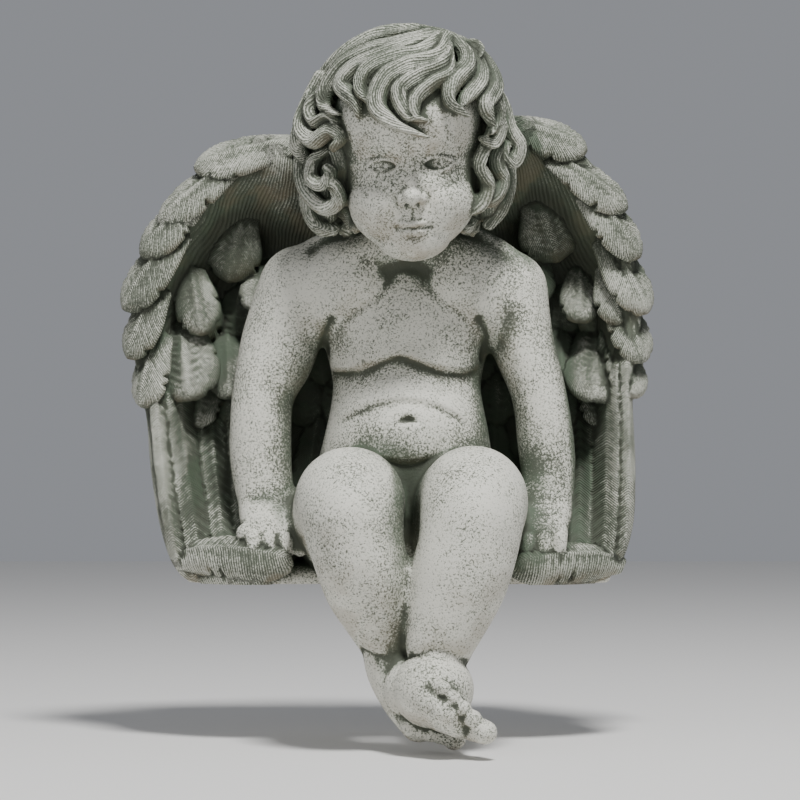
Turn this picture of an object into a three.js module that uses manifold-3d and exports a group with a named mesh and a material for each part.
import * as THREE from "three";
import { mergeVertices } from "three/addons/utils/BufferGeometryUtils.js";
import Module from "manifold-3d";

// A winged putto of cast stone that sits on the edge of a ledge with its ankles crossed and its hands on
// the curled tips of its wings. It is one casting, so it is one solid. Millimetres, +Z up. The putto
// looks along -Y, and +X is on the viewer's right. The origin lies on the flat underside that rests on
// the ledge, between the hips.

const statueHeight = 403; // lowest toe to the top of the hair
const ledgeFace = 57; // from the origin forward to where the flat underside ends and the legs hang down
const wingWall = 21; // thickness of a wing behind its feathers
const featherThickness = 11; // thickness of one carved feather
const tipThickness = 19; // thickness of the wing tips that curl in along the ledge
const lockThickness = 9; // thickness of one lock of hair over the skull
const fingerWidth = 8.4; // width of a finger
const toeWidth = 8; // width of the smallest toe
const stoneGrain = 0.001; // corners closer together than this are one

// The pose is given in parts, and a statue is this many parts high.
const partCount = 403;
const part = statueHeight / partCount;
const featherParts = featherThickness / part;
const tipParts = tipThickness / part;
const lockParts = lockThickness / part;
const fingerParts = fingerWidth / part;
const toeParts = toeWidth / part;

const wasm = await Module();
wasm.setup();

const stone = new THREE.MeshStandardMaterial({ color: 0x8f968a, roughness: 0.85, metalness: 0 });

function place(x, y, z) {
  return new THREE.Vector3(x, y, z);
}

// A closed geometry in parts becomes a solid in millimetres.
function solidOf(geometry) {
  return closedSolid(geometry.clone().scale(part, part, part), 0.001);
}

// A closed geometry in millimetres becomes a solid, with corners closer than the grain made one.
function closedSolid(geometry, grain) {
  const bare = geometry.clone();
  bare.deleteAttribute("normal");
  bare.deleteAttribute("uv");
  const merged = mergeVertices(bare, grain);
  const mesh = new wasm.Mesh({
    numProp: 3,
    vertProperties: new Float32Array(merged.attributes.position.array),
    triVerts: new Uint32Array(merged.index.array),
  });
  return new wasm.Manifold(mesh);
}

// Moves every corner of a geometry to the place that the function gives for it.
function reshape(geometry, moved) {
  const corners = geometry.attributes.position;
  for (let i = 0; i < corners.count; i++) {
    const spot = moved(place(corners.getX(i), corners.getY(i), corners.getZ(i)));
    corners.setXYZ(i, spot.x, spot.y, spot.z);
  }
  return geometry;
}

function ball([x, y, z], [rx, ry, rz], sides = 8, rows = 6) {
  const sphere = new THREE.SphereGeometry(1, sides, rows).rotateX(Math.PI / 2);
  return sphere.scale(rx, ry, rz).translate(x, y, z);
}

// A rounded limb through stations of [x, y, z, half width, half depth], with round ends. The width is
// measured towards the side, which is one direction or a function of the place and the way there.
function limb(stations, sides = 10, rows = 8, side = place(1, 0, 0), capRows = 1) {
  const line = new THREE.CatmullRomCurve3(stations.map((s) => place(s[0], s[1], s[2])));
  const sizes = new THREE.CatmullRomCurve3(stations.map((s) => place(s[3], s[4] ?? s[3], 0)));
  const capsule = new THREE.CapsuleGeometry(1, rows, capRows, sides, rows);
  return reshape(capsule, (corner) => {
    const along = THREE.MathUtils.clamp(corner.y / rows + 0.5, 0, 1);
    const beyond = corner.y - (along - 0.5) * rows;
    const size = sizes.getPoint(along);
    const way = line.getTangent(along);
    const spot = line.getPoint(along);
    const towards = typeof side === "function" ? side(spot, way) : side;
    const depthway = towards.clone().cross(way).normalize();
    const sideway = way.clone().cross(depthway);
    return spot
      .addScaledVector(way, beyond * Math.min(size.x, size.y))
      .addScaledVector(sideway, corner.x * size.x)
      .addScaledVector(depthway, corner.z * size.y);
  });
}

// One feather: a flat blade from its root to its tip, arched outwards, with a ridge for its quill.
function feather(root, tip, width, facing, arch = 3, thickness = featherParts, rows = 4) {
  const middle = root.clone().lerp(tip, 0.55).addScaledVector(facing, arch);
  const quill = new THREE.QuadraticBezierCurve3(root, middle, tip);
  const sphere = new THREE.SphereGeometry(1, 4, rows);
  return reshape(sphere, (corner) => {
    const along = THREE.MathUtils.clamp((corner.y + 1) / 2, 0, 1);
    const way = quill.getTangent(along);
    const across = way.clone().cross(facing).normalize();
    const outward = across.clone().cross(way);
    const fullness = 0.94 + 0.16 * along;
    return quill
      .getPoint(along)
      .addScaledVector(across, (corner.x * width * fullness) / 2)
      .addScaledVector(outward, (corner.z * thickness) / 2);
  });
}

// The trunk, from the seat to the neck, with the shoulders, the chest and the round belly.
function trunk() {
  return [
    limb([
      [2, 8, 6, 52, 44],
      [2, 6, 34, 55, 46],
      [3, 2, 60, 52, 45],
      [4, -2, 82, 48, 43],
      [4, 1, 102, 44, 38],
      [4, 3, 116, 43, 34],
      [4, 3, 134, 47, 33],
      [4, 3, 150, 51, 35],
      [4, 5, 168, 49, 31],
      [6, 4, 184, 40, 27],
      [8, -2, 196, 25, 23],
      [7, -14, 208, 21, 20],
    ], 12, 8),
    ball([-56, 3, 168], [28, 27, 26]),
    ball([62, 3, 167], [27, 27, 26]),
    ball([-38, 24, 28], [30, 30, 32], 8, 5),
    ball([42, 24, 28], [30, 30, 32], 8, 5),
  ];
}

function arms() {
  return [
    limb([
      [-57, 2, 170, 25, 25],
      [-67, 0, 145, 23, 23],
      [-72, -2, 128, 22, 22],
      [-79, -5, 106, 18, 19],
      [-80, -8, 76, 18, 18],
      [-79, -12, 53, 16, 15],
      [-75, -16, 40, 13, 12],
    ], 9, 7),
    limb([
      [62, 2, 168, 24, 24],
      [70, 0, 140, 19, 21],
      [80, -3, 108, 16, 19],
      [84, -6, 78, 16.5, 18],
      [87, -11, 58, 13.5, 14],
      [88, -15, 44, 11.5, 12],
    ], 9, 7),
  ];
}

// A hand is a flat palm with four fingers side by side and a thumb, laid on the wing tip.
function hand(wrist, knuckles, tips, thumb, width) {
  const half = fingerParts / 2;
  const away = knuckles.clone().sub(wrist).normalize();
  const across = place(0, 0, 1).cross(away).normalize();
  const palm = limb([
    [...wrist.toArray(), width * 0.42, 9],
    [...wrist.clone().lerp(knuckles, 0.6).toArray(), width * 0.52, 8.5],
    [...knuckles.toArray(), width * 0.5, 6.5],
  ], 8, 3, across);
  const fingers = [0, 1, 2, 3].map((i) => {
    const offset = across.clone().multiplyScalar((i - 1.5) * width * 0.25);
    const start = knuckles.clone().add(offset);
    const end = tips.clone().add(offset);
    const bend = start.clone().lerp(end, 0.55).add(place(0, 0, 2.5));
    return limb([
      [...start.toArray(), half * 1.15],
      [...bend.toArray(), half],
      [...end.toArray(), half * 0.85],
    ], 4, 2, across);
  });
  const thumbLine = limb([
    [...wrist.clone().lerp(knuckles, 0.35).toArray(), half * 1.5],
    [...thumb.toArray(), half * 1.1],
  ], 5, 1, across);
  return [palm, ...fingers, thumbLine];
}

function hands() {
  return [
    ...hand(place(-75, -17, 37), place(-66, -30, 24), place(-57, -42, 15), place(-84, -31, 26), 27),
    ...hand(place(88, -18, 38), place(78, -30, 29), place(68, -42, 22), place(72, -20, 24), 26),
  ];
}

// The legs bend at the knee over the ledge, and the leg on the viewer's right crosses in front.
function legs() {
  return [
    limb([
      [-30, 12, 32, 36, 35],
      [-31, -25, 37, 34, 35],
      [-29, -58, 44, 32, 32],
      [-27, -82, 45, 30, 30],
      [-23, -90, 22, 26, 27],
      [-16, -85, -2, 24, 24],
      [-11, -81, -21, 17.5, 18],
      [-8, -79, -33, 13, 14],
    ], 10, 8),
    limb([
      [33, 12, 32, 36, 35],
      [37, -25, 37, 33, 35],
      [40, -60, 45, 31, 32],
      [40, -84, 46, 29.5, 30],
      [37, -94, 24, 27.5, 28],
      [31, -93, 2, 26.5, 27],
      [25, -94, -18, 22, 22],
      [21, -95, -32, 18, 18],
    ], 10, 8),
  ];
}

// Five toes in a slanting row, from the little toe to the big toe.
function toes(little, big, onward) {
  return [0, 1, 2, 3, 4].map((i) => {
    const half = (toeParts / 2) * (i === 4 ? 1.7 : 0.95 + i * 0.09);
    const root = little.clone().lerp(big, i / 4);
    const end = root.clone().addScaledVector(onward, i === 4 ? 12 : 6 + i);
    return limb([
      [...root.toArray(), half * 1.1],
      [...end.toArray(), half],
    ], 4, 1, place(0, 1, 0.4).normalize());
  });
}

function feet() {
  return [
    ball([18, -97, -54], [22, 26, 21]),
    ball([6, -88, -54], [15, 18, 17]),
    limb([
      [17, -98, -52, 20, 18],
      [23, -110, -62, 19, 14],
      [29, -120, -69, 17, 9],
    ], 9, 3, place(0.76, 0, -0.65)),
    ...toes(place(23, -121, -55), place(37, -119, -72), place(0.5, -0.85, -0.1)),
    limb([
      [-8, -79, -33, 13, 13],
      [-4, -78, -46, 14, 15],
      [4, -82, -60, 14, 13],
      [14, -88, -72, 13, 9],
    ], 8, 4),
    ...toes(place(6, -95, -77), place(23, -90, -77), place(0.3, -0.75, -0.6)),
  ];
}

// The head is shaped upright about its own centre, then leant forwards and a little to one side.
const headCentre = place(5, -44, 247);
const headLean = 0.22;
const headRoll = -0.05;

function leantHead(geometry) {
  return geometry.rotateX(headLean).rotateY(headRoll).translate(...headCentre.toArray());
}

// How far a ball reaches from the head's centre along a direction.
function reachOf([centre, radii], way) {
  const scaledWay = way.clone().divide(place(...radii));
  const scaledCentre = place(...centre).divide(place(...radii));
  const a = scaledWay.lengthSq();
  const b = scaledWay.dot(scaledCentre);
  const inside = b * b - a * (scaledCentre.lengthSq() - 1);
  return inside > 0 ? Math.max(0, (b + Math.sqrt(inside)) / a) : 0;
}

// One smooth skin over all the balls that fill the head.
function skinOver(balls, sides, rows, tightness = 14) {
  const sphere = new THREE.SphereGeometry(1, sides, rows);
  return reshape(sphere, (corner) => {
    const way = corner.clone().normalize();
    const sum = balls.reduce((total, one) => total + (reachOf(one, way) / 50) ** tightness, 0);
    return way.multiplyScalar(50 * sum ** (1 / tightness));
  });
}

function head() {
  const mirrored = [-1, 1];
  const skull = [[0, 6, 10], [42, 49, 48]];
  const forehead = [[0, -12, 20], [37, 36, 28]];
  const face = [[0, -8, -20], [35, 37, 37]];
  const cheeks = mirrored.map((s) => [[s * 18, -24, -26], [16, 17, 16]]);
  const chin = [[0, -32, -47], [13, 11, 10]];
  const bridge = [[0, -42, -10], [3.6, 4, 9]];
  const nose = [[0, -46, -22], [4.6, 6, 5]];
  const lips = [[0, -41, -38], [9, 4.6, 3.6]];
  const eyes = mirrored.map((s) => [[s * 16, -36, -6], [8, 6, 6]]);
  const ears = mirrored.map((s) => ball([s * 43, 2, -12], [5, 9, 13], 6, 4));
  const balls = [skull, forehead, face, ...cheeks, chin, bridge, nose, lips, ...eyes];
  return [skinOver(balls, 18, 13), ...ears].map(leantHead);
}

const hairCentre = place(5, -40, 262);
const hairRadius = place(51, 55, 52);

// Where a lock lies: its place as seen from the front, laid on the round of the hair.
function onHair(x, z, lift = 0) {
  const across = (x - hairCentre.x) / hairRadius.x;
  const up = (z - hairCentre.z) / hairRadius.z;
  const depth = Math.sqrt(Math.max(0.04, 1 - across * across - up * up));
  const spot = place(x, hairCentre.y - hairRadius.y * depth, z);
  const outward = spot.clone().sub(hairCentre).normalize();
  return spot.addScaledVector(outward, lift);
}

// The side of a lock that lies flat on the hair.
function overHair(spot, way) {
  return way.clone().cross(spot.clone().sub(hairCentre)).normalize();
}

// A lock of hair through points seen from the front, thick at the root and thin at its end.
function frontLock(points, width, lift = 0) {
  const last = points.length - 1;
  const stations = points.map(([x, z], i) => {
    const spot = onHair(x, z, lift + (i / last) * 3);
    const half = (width / 2) * (1 - 0.55 * (i / last) ** 2);
    return [...spot.toArray(), half, Math.min(half, lockParts / 2 + 1)];
  });
  return limb(stations, 4, last, overHair);
}

// A curl that winds into a ring, seen from the front.
function curl(x, y, z, radius, thickness) {
  return new THREE.TorusGeometry(radius, thickness, 3, 7).rotateX(Math.PI / 2).translate(x, y, z);
}

// The mass of hair, with a ridge for each lock that falls from the crown and swings to and fro.
function hairCap([x, y, z], [rx, ry, rz], locks, swing) {
  const sphere = new THREE.SphereGeometry(1, 2 * locks, 7).rotateX(Math.PI / 2);
  return reshape(sphere, (corner) => {
    const turn = Math.atan2(corner.y, corner.x);
    const reach = Math.hypot(corner.x, corner.y);
    const ridge = 1 + ((Math.cos(turn * locks) * lockParts) / 3.4 / rx) * reach;
    const swung = turn + swing * Math.sin(4 * (1 - corner.z));
    return place(
      x + rx * reach * ridge * Math.cos(swung),
      y + ry * reach * ridge * Math.sin(swung),
      z + rz * corner.z,
    );
  });
}

function hair() {
  const locks = [
    [[[9, 309], [-8, 306], [-24, 298], [-36, 288], [-43, 279]], 14, 0],
    [[[15, 305], [0, 298], [-16, 293], [-30, 286], [-38, 275], [-39, 266], [-31, 260]], 12, 1],
    [[[20, 303], [5, 296], [-9, 289], [-23, 283], [-29, 275], [-22, 265], [-20, 257]], 12, 2],
    [[[22, 302], [10, 291], [-3, 287], [-16, 280], [-19, 271], [-14, 263]], 11, 3],
    [[[24, 301], [19, 289], [4, 283], [-7, 276], [-11, 263], [-3, 254], [14, 247]], 13, 4],
    [[[25, 298], [22, 286], [9, 278], [0, 270], [3, 258], [9, 255]], 11, 3],
    [[[26, 295], [25, 281], [16, 274], [8, 266], [8, 257], [14, 255]], 9, 3],
    [[[24, 302], [33, 293], [34, 284], [27, 275], [25, 265], [34, 258]], 11, 3],
    [[[28, 300], [40, 289], [41, 277], [33, 267], [30, 262]], 10, 2],
    [[[31, 300], [43, 290], [48, 276], [43, 265], [46, 255]], 13, 3],
    [[[33, 296], [44, 285], [49, 272], [51, 261], [46, 251]], 13, 1],
    [[[40, 290], [47, 279], [53, 267], [61, 258]], 11, -1],
    [[[32, 297], [37, 297], [40, 293], [39, 288]], 8, 3],
    [[[-36, 288], [-48, 274], [-52, 258], [-44, 250], [-36, 256]], 12, 0],
    [[[-40, 270], [-51, 262], [-55, 247], [-48, 238]], 12, 0],
  ];
  return [
    hairCap([5, -29, 262], [51, 51, 52], 12, 0.1),
    ball([-40, -38, 234], [13, 22, 30], 8, 6),
    ball([49, -36, 234], [13, 22, 30], 8, 6),
    hairCap([5, -8, 228], [40, 26, 27], 8, 0.12),
    ...locks.map(([points, width, lift]) => frontLock(points, width, lift)),
    curl(-36, -72, 246, 5, 3.2),
    curl(-23, -88, 259, 4.2, 3),
    curl(-44, -60, 228, 9, 3.6),
    curl(60, -46, 238, 6, 3.2),
  ];
}

// The outline of each wing as seen from the front, from its root at the seat round over the top.
const leftOutline = [
  [-6, 0], [-4, 60], [-4, 130], [-12, 200], [-42, 244], [-76, 258], [-103, 249], [-127, 226],
  [-144, 192], [-155, 157], [-152, 122], [-146, 96], [-143, 66], [-137, 32], [-128, 8], [-112, 0], [-60, 0],
];
const rightOutline = [
  [6, 0], [8, 60], [8, 130], [14, 200], [40, 250], [74, 268], [92, 262], [107, 247], [127, 218],
  [134, 190], [139, 157], [137, 134], [134, 110], [135, 66], [133, 32], [124, 8], [108, 0], [56, 0],
];

// How far forward the middle of the wing's wall lies: a hollow behind the shoulder, a rim that curls
// forward at the outer edge, and a lower part that comes forward to the arms.
function wingDepth(x, z, edge) {
  const outer = THREE.MathUtils.smoothstep(Math.abs(x), 24, 74);
  const low = 1 - THREE.MathUtils.smoothstep(z, 40, 150);
  const hollow = THREE.MathUtils.lerp(48, 30, low);
  const rim = THREE.MathUtils.lerp(-2, -14, 1 - THREE.MathUtils.smoothstep(z, 20, 130));
  return THREE.MathUtils.lerp(hollow, rim, outer * THREE.MathUtils.smoothstep(edge, 0.5, 0.94));
}

function wingWallForm(outline, centre) {
  const loop = new THREE.CatmullRomCurve3(outline.map(([x, z]) => place(x, 0, z)), true, "centripetal");
  const sphere = new THREE.SphereGeometry(1, 16, 8);
  return reshape(sphere, (corner) => {
    const front = corner.y < 0;
    const inset = Math.abs(1 - (2 * Math.acos(THREE.MathUtils.clamp(corner.y, -1, 1))) / Math.PI);
    const edge = 1 - inset ** 1.5;
    const turn = Math.atan2(corner.z, corner.x) / (2 * Math.PI);
    const rim = loop.getPoint(((turn % 1) + 1) % 1);
    const x = THREE.MathUtils.lerp(centre[0], rim.x, edge);
    const z = THREE.MathUtils.lerp(centre[1], rim.z, edge);
    const half = (wingWall / part / 2) * Math.sqrt(Math.max(0, 1 - edge ** 6));
    return place(x, wingDepth(x, z, edge) + (front ? -half : half), z);
  });
}

// A feather that lies on the front of the wing, from [x, z] to [x, z], raised by its layer.
function wingFeather([rootX, rootZ], [tipX, tipZ], width, depths, arch) {
  const root = place(rootX, depths[0], rootZ);
  const tip = place(tipX, depths[1], tipZ);
  const facing = place(0.25 * Math.sign(tipX), -1, 0).normalize();
  return feather(root, tip, width, facing, arch);
}

function leftFeathers() {
  const rim = [
    [[-62, 248], [-118, 235], 24, [-4, -7]],
    [[-92, 244], [-139, 206], 26, [-4, -9]],
    [[-112, 226], [-149, 187], 27, [-4, -9]],
    [[-124, 206], [-159, 156], 30, [-4, -9]],
    [[-136, 172], [-156, 128], 26, [-5, -9]],
    [[-137, 146], [-148, 100], 26, [-6, -10]],
  ];
  const coverts = [
    [[-88, 218], [-102, 178], 27, [26, 15]],
    [[-74, 190], [-88, 158], 22, [28, 14]],
    [[-122, 184], [-114, 142], 25, [8, 0]],
    [[-128, 152], [-122, 106], 33, [6, -4]],
    [[-102, 150], [-99, 106], 24, [16, 6]],
    [[-84, 150], [-88, 112], 20, [22, 12]],
  ];
  const primaries = [
    [[-142, 130], [-128, 12], 21, [2, -22]],
    [[-128, 126], [-116, 12], 20, [6, -14]],
    [[-112, 124], [-104, 14], 22, [10, -6]],
    [[-98, 122], [-92, 22], 17, [14, 6]],
    [[-44, 122], [-62, 12], 22, [20, 12]],
  ];
  return [...rim, ...coverts, ...primaries].map((f) => wingFeather(f[0], f[1], f[2], f[3], 4));
}

function rightFeathers() {
  const rim = [
    [[56, 254], [107, 246], 24, [-4, -7]],
    [[84, 248], [131, 214], 26, [-4, -9]],
    [[104, 228], [138, 186], 27, [-4, -9]],
    [[116, 202], [142, 154], 28, [-4, -9]],
    [[124, 170], [139, 126], 26, [-5, -9]],
    [[125, 146], [135, 106], 24, [-6, -10]],
  ];
  const coverts = [
    [[86, 232], [94, 190], 30, [26, 14]],
    [[78, 198], [82, 162], 22, [30, 20]],
    [[106, 186], [104, 150], 24, [12, 2]],
    [[120, 186], [126, 148], 24, [4, -5]],
    [[116, 150], [112, 106], 33, [8, -3]],
    [[94, 152], [94, 118], 19, [20, 10]],
  ];
  const primaries = [
    [[128, 128], [124, 12], 20, [2, -22]],
    [[118, 124], [112, 12], 19, [6, -14]],
    [[104, 120], [102, 14], 20, [10, -6]],
    [[50, 122], [64, 14], 22, [20, 12]],
  ];
  return [...rim, ...coverts, ...primaries].map((f) => wingFeather(f[0], f[1], f[2], f[3], 4));
}

// The longest feathers turn in along the ledge, and the hands rest on them.
function wingTips() {
  const facing = place(0, -0.86, 0.5).normalize();
  return [
    feather(place(-132, -12, 16), place(-60, -42, 12), 27, facing, 8, tipParts, 6),
    feather(place(-116, -16, 6), place(-70, -36, 6), 22, facing, 4, tipParts, 5),
    feather(place(130, -12, 13), place(62, -42, 9), 25, facing, 8, tipParts, 6),
    feather(place(114, -16, 6), place(72, -36, 6), 20, facing, 4, tipParts, 5),
    ball([-62, 6, 3], [62, 34, 12]),
    ball([62, 6, 3], [60, 34, 12]),
  ];
}

function wings() {
  return [
    wingWallForm(leftOutline, [-72, 132]),
    wingWallForm([...rightOutline].reverse(), [70, 132]),
    ...leftFeathers(),
    ...rightFeathers(),
    ...wingTips(),
  ];
}

// What lies behind the ledge's face and below the seat is taken off, which leaves a flat underside.
function belowSeat() {
  const reach = statueHeight;
  const block = new THREE.BoxGeometry(2 * reach, reach, reach);
  return block.translate(0, reach / 2 - ledgeFace, -reach / 2).scale(1 / part, 1 / part, 1 / part);
}

function joined(forms) {
  return forms.map(solidOf).reduce((whole, next) => whole.add(next));
}

function largestPiece(solid) {
  return solid.decompose().reduce((a, b) => (a.volume() > b.volume() ? a : b));
}

function geometryOf(solid) {
  const { vertProperties, triVerts } = solid.getMesh();
  const geometry = new THREE.BufferGeometry();
  geometry.setAttribute("position", new THREE.BufferAttribute(new Float32Array(vertProperties), 3));
  geometry.setIndex(new THREE.BufferAttribute(new Uint32Array(triVerts), 1));
  return geometry;
}

function meshOf(name, solid, material) {
  const geometry = geometryOf(solid);
  geometry.computeVertexNormals();
  const mesh = new THREE.Mesh(geometry, material);
  mesh.name = name;
  return mesh;
}

const whole = joined([
  ...trunk(), ...arms(), ...hands(), ...legs(), ...feet(), ...head(), ...hair(), ...wings(),
]);
const seated = largestPiece(whole.subtract(solidOf(belowSeat())));
const putto = largestPiece(closedSolid(geometryOf(seated), stoneGrain));

const group = new THREE.Group();
group.add(meshOf("putto", putto, stone));

export default group;
